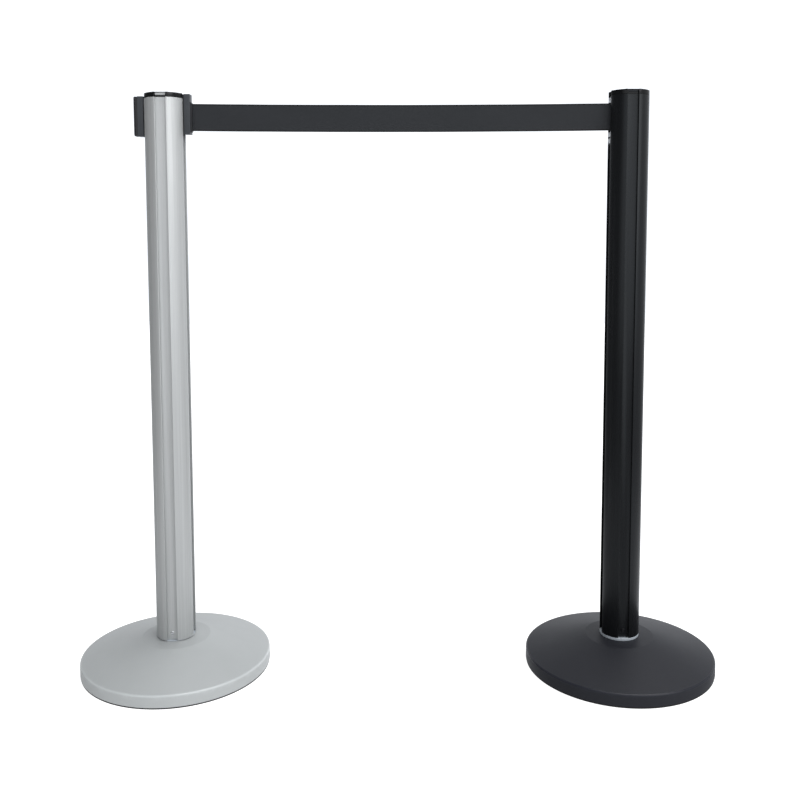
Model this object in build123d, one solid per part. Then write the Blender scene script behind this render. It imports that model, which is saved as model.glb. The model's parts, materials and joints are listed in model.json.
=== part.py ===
from build123d import *
import math
import os

# Two retractable belt stanchions, a silver one at -X and a black one at +X, joined by
# the black one's belt. Millimetres, +Z up, origin on the floor midway between the posts.
# Both stand the same way round: a belt leaves each post through its -X groove, and the
# other three grooves take a neighbour's belt end.

# Driving dimensions.
POST_SPACING = 812.0
POST_R = 35.0
POST_LENGTH = 965.0
CAP_H = 8.5
BASE_R = 169.0
SEAT_Z = 55.5
SILVER_COLLAR_H = 1.2
BLACK_COLLAR_H = 5.0
BELT_W = 47.0
BELT_T = 0.6
BELT_LENGTH = 2000.0

# Clearances between pieces that are screwed or pushed together.
THREAD_GAP = 0.05
SCREW_GAP = 0.2

# Extruded post.
WALL = 1.8
GROOVE_MOUTH = 18.5
GROOVE_INNER = 25.0
GROOVE_FLOOR = 29.0
GROOVE_UNDER = 2.8
FLOOR_WALL = 1.3
PORT_AT = 30.4
PORT_R = 3.0
PORT_BORE_R = 1.7

# Base, from the floor up.
RING_H = 4.0
RING_OUT_R = 166.9
RING_IN_R = 146.0
RING_LIP_H = 2.2
RING_LIP_R = 168.4
COVER_T = 1.5
COVER_FOOT_Z = 2.4
RIM_TOP_Z = 23.4
RIM_FILLET = 3.0
CONE_HIGH_R = 68.0
CONE_HIGH_Z = 52.0
SEAT_R = 38.0
WEIGHT_R = 160.0
WEIGHT_RIM_Z = 10.0
BOSS_R = 30.0
BOSS_FOOT_Z = 26.0

# Foot, where the post meets the base.
TIE_R = 5.0
TIE_HOLE_R = 5.1
TIE_HEAD_R = 9.0
TIE_HEAD_H = 6.4
TIE_SHY = 2.0
WASHER_R = 14.0
WASHER_T = 2.0
COUNTERBORE_R = 15.0
COUNTERBORE_TOP_Z = 14.0
PLUG_R = 27.2
PLUG_H = 24.0
COLLAR_IN_R = 24.0
SILVER_COLLAR_OUT_R = 33.2
BLACK_COLLAR_OUT_R = 34.8
FOOT_SCREW_UP = 13.0
FOOT_SCREW_R = 1.9
FOOT_SCREW_HEAD_R = 3.4
FOOT_SCREW_HEAD_H = 2.0
FOOT_SCREW_LENGTH = 12.0
FOOT_SCREW_ROUND = 1.0
FOOT_SCREW_SOCKET_R = 1.3

# Belt cassette, measured down from the top of the post.
BELT_CENTRE_DOWN = 35.5
CASE_R = 27.0
CASE_WALL = 1.3
CASE_TOP_DOWN = 4.0
CASE_LENGTH = 77.0
PLATE_T = 2.0
HUB_R = 11.0
BUSH_SEAT_R = 4.52
FLANGE_R = 23.3
FLANGE_T = 1.4
FLANGE_GAP = 0.8
COIL_GAP = 0.15
AXLE_R = 3.0
BUSH_R = 4.5
BUSH_BORE_R = 3.07
BUSH_H = 9.0
AXLE_HOLE_R = 3.04
ARBOR_R = 5.2
DRIVER_R = 6.0
DRIVER_W = 1.8
DRIVER_REACH = 5.0
AXLE_PROUD = 0.8
SPRING_CUP_H = 15.0
SPRING_CUP_WALL = 1.0
SPRING_T = 0.4
SPRING_W = 10.0
SPRING_TURNS = 9
SPRING_IN_R = 6.0
SPRING_OUT_R = 21.5
BRAKE_R = 21.0
SHOE_R = 20.4
SHOE_IN_R = 13.0
SHOE_SPLIT = 2.6
RUN_GAP = 0.3
CASE_MOUTH_W = 12.0
CASE_MOUTH_DEPTH = 5.0
POST_SLOT_W = 11.0
BELT_SLOT_H = 50.0

# Guide in the belt's own groove.
GUIDE_H = 81.5
GUIDE_T = 0.9
GUIDE_W = 17.6
GUIDE_OUT = 35.1
GUIDE_SLOT_W = 4.0
ROLLER_R = 2.0
ROLLER_AT_X = 25.6
ROLLER_AT_Y = 2.7
ROLLER_STUB_R = 1.0
ROLLER_STUB_H = 0.75
BELT_CORNER_X = 24.0
GUIDE_DROP = 48.0
GUIDE_WINDOWS = ((-26.0, 25.5), (-37.0, -34.0))

# Belt end.
END_H = 69.0
END_W = 18.0
END_BODY = 10.5
END_NOSE = 2.4
END_NOSE_W = 12.0
END_GAP = 0.3
END_BELT_UP = 29.5
END_ROUND = 1.5
END_NOSE_MARGIN = 2.5
END_NOSE_CHAMFER = 1.4
HEAD_W = 22.0
HEAD_T = 1.8
HEAD_CHAMFER = 3.0
NECK_W = 15.0
TONGUE_L = 5.8
TONGUE_H = 68.0
BAR_R = 1.6
BAR_L = 52.6
BAR_BORE_R = 2.4
END_SCREW_R = 1.4
END_SCREW_HEAD_R = 2.6
END_SCREW_HEAD_H = 1.2
END_SCREW_UP = 24.0
END_SCREW_OUT = 5.3
END_SCREW_L = 7.0
END_BELT_SLOT_GAP = 0.8

# Cap.
CAP_SCREW_R = 1.6
CAP_SCREW_HEAD_R = 3.0
CAP_SCREW_HEAD_H = 1.8
CAP_SCREW_SUNK = 0.4
CAP_KEY_R = 1.3
CAP_CHAMFER = 0.7
CAP_SCREW_L = 18.0
SPIGOT_R = 26.4
SPIGOT_H = 3.0

GROOVE_DIRECTIONS = (0.0, 90.0, 180.0, 270.0)
PORT_DIRECTIONS = (45.0, 135.0, 225.0, 315.0)
OVER = 1.0


def disc(radius, bottom, top):
    """Upright cylinder on the Z axis."""
    return Pos(0, 0, (bottom + top) / 2) * Cylinder(radius, top - bottom)


def ring(outer, inner, bottom, top):
    """Upright ring on the Z axis."""
    return disc(outer, bottom, top) - disc(inner, bottom - OVER, top + OVER)


def block(x0, x1, y0, y1, z0, z1):
    """Box between two corners."""
    centre = Pos((x0 + x1) / 2, (y0 + y1) / 2, (z0 + z1) / 2)
    return centre * Box(x1 - x0, y1 - y0, z1 - z0)


def bar_block(x0, x1, half_width, z0, z1):
    """Box centred on Y = 0."""
    return block(x0, x1, -half_width, half_width, z0, z1)


def along_x(radius, x0, x1):
    """Cylinder lying on the X axis."""
    return Pos((x0 + x1) / 2, 0, 0) * Rot(0, 90, 0) * Cylinder(radius, x1 - x0)


def turned(shape, directions):
    """One copy of a shape for each direction round the Z axis."""
    return [Rot(0, 0, angle) * shape for angle in directions]


def less(shape, cutters):
    """A shape with several others cut from it."""
    for cutter in cutters:
        shape -= cutter
    return shape


def coil_radius(wound):
    """Outer radius of a length of belt wound on the hub."""
    return math.sqrt(HUB_R**2 + wound * BELT_T / math.pi)


# Base.


def floor_ring():
    """Rubber ring inside the cover's foot, with a lip under the cover's edge."""
    return ring(RING_OUT_R, RING_IN_R, 0, RING_H) + ring(RING_LIP_R, RING_IN_R, 0, RING_LIP_H)


def base_weight():
    outline = Polyline(
        (0, RING_H),
        (WEIGHT_R, RING_H),
        (WEIGHT_R, WEIGHT_RIM_Z),
        (BOSS_R, BOSS_FOOT_Z),
        (BOSS_R, SEAT_Z - COVER_T),
        (0, SEAT_Z - COVER_T),
        close=True,
    )
    weight = revolve(make_face(Plane.XZ * outline), Axis.Z)
    weight -= disc(TIE_HOLE_R, 0, SEAT_Z)
    return weight - disc(COUNTERBORE_R, 0, COUNTERBORE_TOP_Z)


def cover_profile(inset, foot_z):
    """Half section under the cover's outside, or under its inside when inset."""
    rim_r = BASE_R - inset
    outline = Polyline(
        (0, foot_z),
        (rim_r, foot_z),
        (rim_r, RIM_TOP_Z - inset),
        (CONE_HIGH_R, CONE_HIGH_Z - inset),
        (SEAT_R, SEAT_Z - inset),
        (0, SEAT_Z - inset),
        close=True,
    )
    face = make_face(Plane.XZ * outline)
    shoulder = face.vertices().group_by(Axis.X)[-1].sort_by(Axis.Z)[-1]
    return fillet(shoulder, RIM_FILLET - inset)


def base_cover():
    outside = revolve(cover_profile(0, COVER_FOOT_Z), Axis.Z)
    inside = revolve(cover_profile(COVER_T, COVER_FOOT_Z - OVER), Axis.Z)
    return outside - inside - disc(TIE_HOLE_R, 0, SEAT_Z + OVER)


def foot_collar(foot_z, outer):
    """Ring between the cover and the post."""
    return ring(outer, COLLAR_IN_R, SEAT_Z, foot_z)


def tie_bolt(foot_z):
    """Bolt up through the weight and the cover into the plug in the post's foot."""
    head_z = COUNTERBORE_TOP_Z - WASHER_T - TIE_HEAD_H
    head = Pos(0, 0, head_z) * extrude(RegularPolygon(TIE_HEAD_R, 6), TIE_HEAD_H)
    return head + disc(TIE_R, head_z, foot_z + PLUG_H - TIE_SHY)


def tie_washer():
    return ring(WASHER_R, TIE_HOLE_R, COUNTERBORE_TOP_Z - WASHER_T, COUNTERBORE_TOP_Z)


def foot_plug(foot_z):
    plug = ring(PLUG_R, TIE_HOLE_R, foot_z, foot_z + PLUG_H)
    hole = along_x(FOOT_SCREW_R + THREAD_GAP, PLUG_R - FOOT_SCREW_LENGTH, PLUG_R + OVER)
    return less(plug, turned(Pos(0, 0, foot_z + FOOT_SCREW_UP) * hole, GROOVE_DIRECTIONS))


def foot_screws(foot_z):
    """Pan-head screws through the foot of each groove into the plug."""
    face_x = GROOVE_FLOOR + FOOT_SCREW_HEAD_H
    head = along_x(FOOT_SCREW_HEAD_R, GROOVE_FLOOR, face_x)
    head = fillet(head.edges().sort_by(Axis.X)[-1], FOOT_SCREW_ROUND)
    head -= along_x(FOOT_SCREW_SOCKET_R, face_x - FOOT_SCREW_ROUND, face_x + OVER)
    shank = along_x(FOOT_SCREW_R, face_x - FOOT_SCREW_LENGTH, face_x - FOOT_SCREW_ROUND)
    screw = head + shank
    return turned(Pos(0, 0, foot_z + FOOT_SCREW_UP) * screw, GROOVE_DIRECTIONS)


# Post.


def groove_section():
    """T-shaped opening of the +X groove, as seen from above."""
    mouth_depth = POST_R + OVER - GROOVE_FLOOR
    mouth = Pos(GROOVE_FLOOR + mouth_depth / 2, 0) * Rectangle(mouth_depth, GROOVE_MOUTH)
    under = Pos(GROOVE_FLOOR + GROOVE_UNDER / 2, 0) * Rectangle(GROOVE_UNDER, GROOVE_INNER)
    return mouth + under


def channel_section():
    """Channel round the +X groove, inside the post's round wall."""
    inner_x = GROOVE_FLOOR - FLOOR_WALL
    depth = POST_R - inner_x
    wall = Pos(inner_x + depth / 2, 0) * Rectangle(depth, GROOVE_INNER + 2 * FLOOR_WALL)
    return wall & Circle(POST_R - WALL / 2)


def post_section():
    """A round wall, four T grooves and four screw ports."""
    section = Circle(POST_R) - Circle(POST_R - WALL)
    port = Pos(PORT_AT, 0) * Circle(PORT_R)
    for piece in turned(channel_section(), GROOVE_DIRECTIONS) + turned(port, PORT_DIRECTIONS):
        section += piece
    bore = Pos(PORT_AT, 0) * Circle(PORT_BORE_R)
    section = less(section, turned(groove_section(), GROOVE_DIRECTIONS))
    return less(section, turned(bore, PORT_DIRECTIONS))


def belt_slot(x0, x1, half_width, belt_z):
    """Cutter for an upright slot that the belt passes."""
    return bar_block(x0, x1, half_width, belt_z - BELT_SLOT_H / 2, belt_z + BELT_SLOT_H / 2)


def post_tube(foot_z, belt_z):
    post = Pos(0, 0, foot_z) * extrude(post_section(), POST_LENGTH)
    hole = along_x(FOOT_SCREW_R + SCREW_GAP, GROOVE_FLOOR - FLOOR_WALL - OVER, POST_R)
    post = less(post, turned(Pos(0, 0, foot_z + FOOT_SCREW_UP) * hole, GROOVE_DIRECTIONS))
    wall_in = OVER - GROOVE_FLOOR + FLOOR_WALL
    return post - belt_slot(-GROOVE_FLOOR - OVER, wall_in, POST_SLOT_W / 2, belt_z)


def cap_screw_seat(top_z):
    """Height of the underside of the cap screws' heads."""
    return top_z + CAP_H - CAP_SCREW_HEAD_H - CAP_SCREW_SUNK


def head_cap(top_z):
    """Cap with the post's own outline, so that a belt end slides down past it."""
    section = less(Circle(POST_R), turned(groove_section(), GROOVE_DIRECTIONS))
    cap = Pos(0, 0, top_z) * extrude(section, CAP_H)
    rim = cap.edges().filter_by(GeomType.CIRCLE).group_by(Axis.Z)[-1]
    cap = chamfer(rim, CAP_CHAMFER) + disc(SPIGOT_R, top_z - SPIGOT_H, top_z)
    seat_z = cap_screw_seat(top_z)
    hole = disc(CAP_SCREW_R + SCREW_GAP, top_z - OVER, seat_z + OVER)
    hole += disc(CAP_SCREW_HEAD_R + SCREW_GAP, seat_z, top_z + CAP_H + OVER)
    return less(cap, turned(Pos(PORT_AT, 0, 0) * hole, PORT_DIRECTIONS))


def cap_screws(top_z):
    seat_z = cap_screw_seat(top_z)
    head = disc(CAP_SCREW_HEAD_R, seat_z, seat_z + CAP_SCREW_HEAD_H)
    socket = Pos(0, 0, seat_z + CAP_SCREW_HEAD_H / 2) * extrude(RegularPolygon(CAP_KEY_R, 6), OVER)
    screw = head - socket + disc(CAP_SCREW_R, seat_z - CAP_SCREW_L, seat_z)
    return turned(Pos(PORT_AT, 0, 0) * screw, PORT_DIRECTIONS)


# Belt cassette. All heights follow from belt_z, the middle of the belt's width.


def case_top(belt_z):
    return belt_z + BELT_CENTRE_DOWN - CASE_TOP_DOWN


def case_bottom(belt_z):
    return case_top(belt_z) - CASE_LENGTH


def spool_bottom(belt_z):
    return belt_z - BELT_W / 2 - FLANGE_GAP - FLANGE_T


def spool_top(belt_z):
    return belt_z + BELT_W / 2 + FLANGE_GAP + FLANGE_T


def brake_bottom(belt_z):
    return spool_top(belt_z) + RUN_GAP / 2


def brake_top(belt_z):
    return case_top(belt_z) - PLATE_T - RUN_GAP


def roller_places():
    return [Pos(-ROLLER_AT_X, side * ROLLER_AT_Y, 0) for side in (-1, 1)]


def cassette_case(belt_z):
    """Tube round the spool, cut away where the belt leaves it."""
    low = case_bottom(belt_z) + PLATE_T
    case = ring(CASE_R, CASE_R - CASE_WALL, low, case_top(belt_z) - PLATE_T)
    case -= belt_slot(-CASE_R - OVER, CASE_MOUTH_DEPTH - CASE_R, CASE_MOUTH_W / 2, belt_z)
    reach = BELT_SLOT_H / 2 + ROLLER_STUB_H + SCREW_GAP
    stub_hole = disc(ROLLER_STUB_R + THREAD_GAP, belt_z - reach, belt_z + reach)
    return less(case, [place * stub_hole for place in roller_places()])


def cassette_plate(bottom):
    return ring(CASE_R, AXLE_HOLE_R, bottom, bottom + PLATE_T)


def spool_axle(belt_z):
    return disc(AXLE_R, case_bottom(belt_z) - AXLE_PROUD, case_top(belt_z) + AXLE_PROUD)


def spool(belt_z):
    """Hub, two flanges, the spring's arbor below and the brake's driver above."""
    low = spool_bottom(belt_z)
    high = spool_top(belt_z)
    arbor_z = case_bottom(belt_z) + PLATE_T + SPRING_CUP_WALL + RUN_GAP
    body = disc(HUB_R, low, high)
    body += disc(FLANGE_R, low, low + FLANGE_T) + disc(FLANGE_R, high - FLANGE_T, high)
    body += disc(ARBOR_R, arbor_z, low) + disc(DRIVER_R, high, brake_top(belt_z))
    arm = SHOE_IN_R + DRIVER_REACH
    body += bar_block(-arm, arm, DRIVER_W / 2, high, brake_top(belt_z))
    body -= disc(BUSH_BORE_R, arbor_z - OVER, brake_top(belt_z) + OVER)
    for seat in bush_places(belt_z):
        body -= disc(BUSH_SEAT_R, seat, seat + BUSH_H)
    return body


def bush_places(belt_z):
    """Undersides of the two bushes, one inside each end of the hub."""
    return (spool_bottom(belt_z), spool_top(belt_z) - BUSH_H)


def axle_bushes(belt_z):
    return [ring(BUSH_R, BUSH_BORE_R, low, low + BUSH_H) for low in bush_places(belt_z)]


def brake_shoes(belt_z):
    """Two half rings, carried round by the driver, that fling out against the drum."""
    low = brake_bottom(belt_z)
    top = brake_top(belt_z)
    shoes = ring(SHOE_R, SHOE_IN_R, low, top)
    shoes -= bar_block(-CASE_R, CASE_R, SHOE_SPLIT / 2, low - OVER, top + OVER)
    return list(shoes.solids())


def brake_drum(belt_z):
    low = brake_bottom(belt_z)
    return ring(CASE_R - CASE_WALL - THREAD_GAP, BRAKE_R, low, case_top(belt_z) - PLATE_T)


def wound_belt(belt_z, wound):
    return ring(coil_radius(wound), HUB_R + COIL_GAP, belt_z - BELT_W / 2, belt_z + BELT_W / 2)


def spring_cup(belt_z):
    """Fixed cup under the spool that holds the power spring."""
    low = case_bottom(belt_z) + PLATE_T
    cup = ring(CASE_R - CASE_WALL - THREAD_GAP, SPRING_IN_R, low, low + SPRING_CUP_H)
    return cup - disc(SPRING_OUT_R + OVER, low + SPRING_CUP_WALL, low + SPRING_CUP_H + OVER)


def power_spring(belt_z):
    """Flat spiral of spring steel, drawn as half circles of growing radius."""
    step = (SPRING_OUT_R - SPRING_IN_R) / SPRING_TURNS / 2
    band = Sketch()
    for half in range(2 * SPRING_TURNS):
        side = 1 if half % 2 else -1
        arc = CenterArc((side * step / 2, 0), SPRING_IN_R + step * (half + 0.5), 90 - side * 90, 180)
        band += trace(arc, SPRING_T)
    low = case_bottom(belt_z) + PLATE_T + SPRING_CUP_WALL + 2 * RUN_GAP
    return Pos(0, 0, low) * extrude(band, SPRING_W)


# Belt.


def belt_guide(belt_z):
    """Bright channel in the belt's groove: a slotted back and cheeks cut away at the belt."""
    half = GUIDE_W / 2
    low = belt_z - GUIDE_DROP
    high = low + GUIDE_H
    guide = bar_block(-GUIDE_OUT, -GROOVE_FLOOR, half, low, high)
    face_x = -GROOVE_FLOOR - GUIDE_T
    guide -= bar_block(-GUIDE_OUT - OVER, face_x, half - GUIDE_T, low - OVER, high + OVER)
    for bottom, top in GUIDE_WINDOWS:
        guide -= bar_block(-GUIDE_OUT - OVER, face_x, half + OVER, belt_z + bottom, belt_z + top)
    return guide - belt_slot(-POST_R, OVER - GROOVE_FLOOR, GUIDE_SLOT_W / 2, belt_z)


def guide_rollers(belt_z):
    """Pair of upright rollers that the belt passes between on its way to the slot."""
    half = BELT_SLOT_H / 2 - RUN_GAP
    stub = BELT_SLOT_H / 2 + ROLLER_STUB_H
    roller = disc(ROLLER_R, belt_z - half, belt_z + half)
    roller += disc(ROLLER_STUB_R, belt_z - stub, belt_z + stub)
    return [place * roller for place in roller_places()]


def belt_lead(belt_z, wound):
    """Stretch of belt inside the post, from the coil round the roller to the slot."""
    radius = coil_radius(wound) + BELT_T / 2 + COIL_GAP
    reach = math.acos(radius / BELT_CORNER_X)
    touch = (-radius * math.cos(reach), radius * math.sin(reach))
    path = Polyline(touch, (-BELT_CORNER_X, 0), (-GROOVE_FLOOR, 0))
    return Pos(0, 0, belt_z - BELT_W / 2) * extrude(trace(path, BELT_T), BELT_W)


def belt_web(belt_z, bar_x):
    """Straight stretch of belt from the slot, at -X, to the bar in its end piece."""
    start = bar_x + BAR_R + COIL_GAP
    return bar_block(start, -GROOVE_FLOOR, BELT_T / 2, belt_z - BELT_W / 2, belt_z + BELT_W / 2)


# Belt end. Its back face is at X = 0, the tongue towards -X and the belt towards +X.


def end_middle(belt_z):
    return belt_z - END_BELT_UP + END_H / 2


def end_screw_places(belt_z):
    """Four places, either side of the belt and near the tongue's two ends."""
    middle = end_middle(belt_z)
    return [
        Pos(0, out * END_SCREW_OUT, middle + up * END_SCREW_UP) for out in (-1, 1) for up in (-1, 1)
    ]


def end_body(belt_z):
    low = belt_z - END_BELT_UP
    body = bar_block(0, END_BODY, END_W / 2, low, low + END_H)
    body = fillet(body.edges().filter_by(Axis.Z).group_by(Axis.X)[-1], END_ROUND)
    nose_half = BELT_W / 2 + END_NOSE_MARGIN
    nose = bar_block(
        END_BODY, END_BODY + END_NOSE, END_NOSE_W / 2, belt_z - nose_half, belt_z + nose_half
    )
    body += chamfer(nose.edges().group_by(Axis.X)[-1], END_NOSE_CHAMFER)
    slot_half = BELT_W / 2 + END_BELT_SLOT_GAP
    body -= bar_block(
        END_BODY / 2,
        END_BODY + END_NOSE + OVER,
        BELT_T / 2 + END_GAP,
        belt_z - slot_half,
        belt_z + slot_half,
    )
    body -= Pos(END_BODY / 2, 0, belt_z) * Cylinder(BAR_BORE_R, BAR_L + SCREW_GAP)
    hole = along_x(END_SCREW_R + THREAD_GAP, -OVER, END_SCREW_L + THREAD_GAP)
    return less(body, [place * hole for place in end_screw_places(belt_z)])


def end_tongue(belt_z):
    """T-shaped rail that slides down a neighbour's groove."""
    low = end_middle(belt_z) - TONGUE_H / 2
    high = low + TONGUE_H
    head = bar_block(-TONGUE_L, HEAD_T - TONGUE_L, HEAD_W / 2, low, high)
    tongue = chamfer(head.edges().filter_by(Axis.X), HEAD_CHAMFER)
    tongue += bar_block(-TONGUE_L, 0, NECK_W / 2, low, high)
    hole = along_x(END_SCREW_R + SCREW_GAP, -TONGUE_L - OVER, OVER)
    sunk_x = END_SCREW_HEAD_H + SCREW_GAP - TONGUE_L
    hole += along_x(END_SCREW_HEAD_R + SCREW_GAP, -TONGUE_L - OVER, sunk_x)
    return less(tongue, [place * hole for place in end_screw_places(belt_z)])


def end_bar(belt_z):
    """Pin that the belt's hem is held by."""
    return Pos(END_BODY / 2, 0, belt_z) * Cylinder(BAR_R, BAR_L)


def end_screws(belt_z):
    head_x = SCREW_GAP - TONGUE_L
    screw = along_x(END_SCREW_HEAD_R, head_x, head_x + END_SCREW_HEAD_H)
    screw += along_x(END_SCREW_R, head_x + END_SCREW_HEAD_H, END_SCREW_L)
    return [place * screw for place in end_screw_places(belt_z)]


# Writing the parts.


def write(name, shape, x):
    """One STEP per node, placed at X."""
    pieces = shape if isinstance(shape, list) else [shape]
    solids = [solid for piece in pieces for solid in (Pos(x, 0, 0) * piece).solids()]
    result = solids[0] if len(solids) == 1 else Compound(solids)
    export_step(result, os.path.join("parts", name + ".step"))


def write_stanchion(name, x, foot_z, collar_r, wound):
    """Base, post and cassette of one stanchion."""
    top_z = foot_z + POST_LENGTH
    belt_z = top_z - BELT_CENTRE_DOWN
    pieces = {
        "floor_ring": floor_ring(),
        "base_weight": base_weight(),
        "base_cover": base_cover(),
        "foot_collar": foot_collar(foot_z, collar_r),
        "tie_bolt": tie_bolt(foot_z),
        "tie_washer": tie_washer(),
        "foot_plug": foot_plug(foot_z),
        "foot_screws": foot_screws(foot_z),
        "post_tube": post_tube(foot_z, belt_z),
        "head_cap": head_cap(top_z),
        "cap_screws": cap_screws(top_z),
        "cassette_case": cassette_case(belt_z),
        "cassette_floor": cassette_plate(case_bottom(belt_z)),
        "cassette_lid": cassette_plate(case_top(belt_z) - PLATE_T),
        "spool_axle": spool_axle(belt_z),
        "axle_bushes": axle_bushes(belt_z),
        "spool": spool(belt_z),
        "wound_belt": wound_belt(belt_z, wound),
        "brake_shoes": brake_shoes(belt_z),
        "brake_drum": brake_drum(belt_z),
        "spring_cup": spring_cup(belt_z),
        "power_spring": power_spring(belt_z),
        "guide_rollers": guide_rollers(belt_z),
        "belt_lead": belt_lead(belt_z, wound),
        "belt_guide": belt_guide(belt_z),
    }
    for node, shape in pieces.items():
        write(name + "_" + node, shape, x)


def write_belt(name, post_x, belt_z, back_x):
    """Web and end piece of one post's belt, the end's back face at back_x."""
    bar_x = back_x + END_BODY / 2
    write(name + "_belt_web", belt_web(belt_z, bar_x - post_x), post_x)
    write(name + "_end_body", end_body(belt_z), back_x)
    write(name + "_end_tongue", end_tongue(belt_z), back_x)
    write(name + "_end_bar", end_bar(belt_z), back_x)
    write(name + "_end_screws", end_screws(belt_z), back_x)


def main():
    os.makedirs("parts", exist_ok=True)
    silver_x = -POST_SPACING / 2
    # The silver post's belt end is parked in its own groove. The black post's belt end
    # hangs in the silver post's opposite groove.
    parked = silver_x - POST_R - END_GAP - END_BODY
    hooked = silver_x + POST_R + END_GAP
    for name, post_x, collar_h, collar_r, back_x in (
        ("silver", silver_x, SILVER_COLLAR_H, SILVER_COLLAR_OUT_R, parked),
        ("black", -silver_x, BLACK_COLLAR_H, BLACK_COLLAR_OUT_R, hooked),
    ):
        foot_z = SEAT_Z + collar_h
        belt_z = foot_z + POST_LENGTH - BELT_CENTRE_DOWN
        drawn = post_x - GROOVE_FLOOR - back_x - END_BODY / 2
        write_stanchion(name, post_x, foot_z, collar_r, BELT_LENGTH - drawn)
        write_belt(name, post_x, belt_z, back_x)


main()
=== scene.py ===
import json
import math

import bmesh
import bpy
from mathutils import Matrix, Vector


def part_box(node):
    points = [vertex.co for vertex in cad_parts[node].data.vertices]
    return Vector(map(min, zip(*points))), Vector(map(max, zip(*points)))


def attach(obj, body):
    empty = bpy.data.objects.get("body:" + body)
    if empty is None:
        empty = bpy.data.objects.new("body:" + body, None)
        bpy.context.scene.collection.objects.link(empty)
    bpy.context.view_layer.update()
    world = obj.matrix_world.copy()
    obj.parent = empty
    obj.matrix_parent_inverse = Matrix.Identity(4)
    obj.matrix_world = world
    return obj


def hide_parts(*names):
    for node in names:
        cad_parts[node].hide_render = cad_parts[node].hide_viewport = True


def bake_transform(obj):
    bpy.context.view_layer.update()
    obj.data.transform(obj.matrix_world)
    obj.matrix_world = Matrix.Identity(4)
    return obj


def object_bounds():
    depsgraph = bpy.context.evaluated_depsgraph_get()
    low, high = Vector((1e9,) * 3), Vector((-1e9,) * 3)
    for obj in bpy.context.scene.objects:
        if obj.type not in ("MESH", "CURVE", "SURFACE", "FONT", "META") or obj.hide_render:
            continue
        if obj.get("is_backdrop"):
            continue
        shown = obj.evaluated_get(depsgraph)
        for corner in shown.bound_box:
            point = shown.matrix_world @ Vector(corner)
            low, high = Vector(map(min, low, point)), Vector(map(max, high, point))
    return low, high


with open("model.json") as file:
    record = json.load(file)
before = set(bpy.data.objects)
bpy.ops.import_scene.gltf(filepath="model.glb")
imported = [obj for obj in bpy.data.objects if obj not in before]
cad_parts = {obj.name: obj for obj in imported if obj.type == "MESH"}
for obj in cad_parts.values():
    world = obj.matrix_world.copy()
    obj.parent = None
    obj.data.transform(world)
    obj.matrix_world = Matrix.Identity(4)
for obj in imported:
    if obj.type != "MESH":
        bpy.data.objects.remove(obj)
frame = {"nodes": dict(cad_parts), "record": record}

cad_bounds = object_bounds()

# Retractable belt stanchions, metres, the same frame as the CAD.

MM = 0.001
SMOOTH_TO = math.radians(32)

# Extruded post, radii and distances from its axis.
POST_R = 35 * MM
POST_WALL = 1.8 * MM
LIP_ROUND = 0.7 * MM
MOUTH_HALF = 9.25 * MM
UNDER_HALF = 12.5 * MM
FLOOR_AT = 29 * MM
UNDER_TOP = 31.8 * MM
FLOOR_WALL = 1.3 * MM
PORT_AT = 30.4 * MM
PORT_R = 3 * MM
PORT_BORE_R = 1.7 * MM
POST_EDGE = 0.3 * MM
ARC_STEPS = 26
BELT_SLOT_HALF = 5.5 * MM
BELT_SLOT_H = 50 * MM

# Cap.
CAP_EDGE = 1.1 * MM
CAP_NOTCH_ROUND = 0.4 * MM
INSERT_HALF = 9 * MM
INSERT_T = 0.4 * MM
INSERT_H = 4 * MM
CAP_SCREW_R = 3 * MM
CAP_SCREW_H = 1.8 * MM
CAP_SCREW_SUNK = 0.4 * MM

# Base.
BASE_R = 169 * MM
COVER_T = 1.5 * MM
COVER_FOOT = 2.4 * MM
RIM_TOP = 23.4 * MM
RIM_ROUND = 3 * MM
CONE_HIGH = (61 * MM, 53.9 * MM)
CONE_ROUND = 10 * MM
SEAT = (38 * MM, 55.5 * MM)
BOLT_HOLE_R = 5.1 * MM
COLLAR_IN = 24 * MM
COLLAR_OUT = {"silver": 33.2 * MM, "black": 34.8 * MM}
RING = (146 * MM, 166.9 * MM, 4 * MM)
RING_LIP = (168.4 * MM, 2.2 * MM)
# Zones of the base's coat, as spans of radius and height: painted shade inside the plateau edge, a worn
# rim, and a painted highlight line on the rim's smoother rounding.
PLATEAU_SHADE_EDGE = (59.5 * MM, 61.5 * MM)
RIM_WORN = ((163.5 * MM, 167.5 * MM), (12 * MM, 21 * MM))
RIM_HIGHLIGHT_AND_SMOOTH_EDGE = ((166.1 * MM, 166.8 * MM), (20.6 * MM, 21.2 * MM))
FOOT_SCREW_UP = 13 * MM
FOOT_SCREW_R = 3.4 * MM
FOOT_SCREW_H = 2 * MM
FOOT_HOLE_R = 2.1 * MM

# Belt and its end piece.
BELT_HALF = 23.5 * MM
BELT_T = 0.6 * MM
SELVEDGE_W = 2.4 * MM
SELVEDGE_T = 0.95 * MM
BELT_SAG = 2.2 * MM
RIB_PITCH = 1.1 * MM
WARP_PITCH = 1.3 * MM
# Slight waves along the belt: size, length, lean over its height, phase.
WAVES = ((0.35 * MM, 210 * MM, 0.18, 0.0), (0.2 * MM, 83 * MM, -0.31, 1.3))
CUP = 0.25 * MM
CUP_LENGTH = 370 * MM
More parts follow.
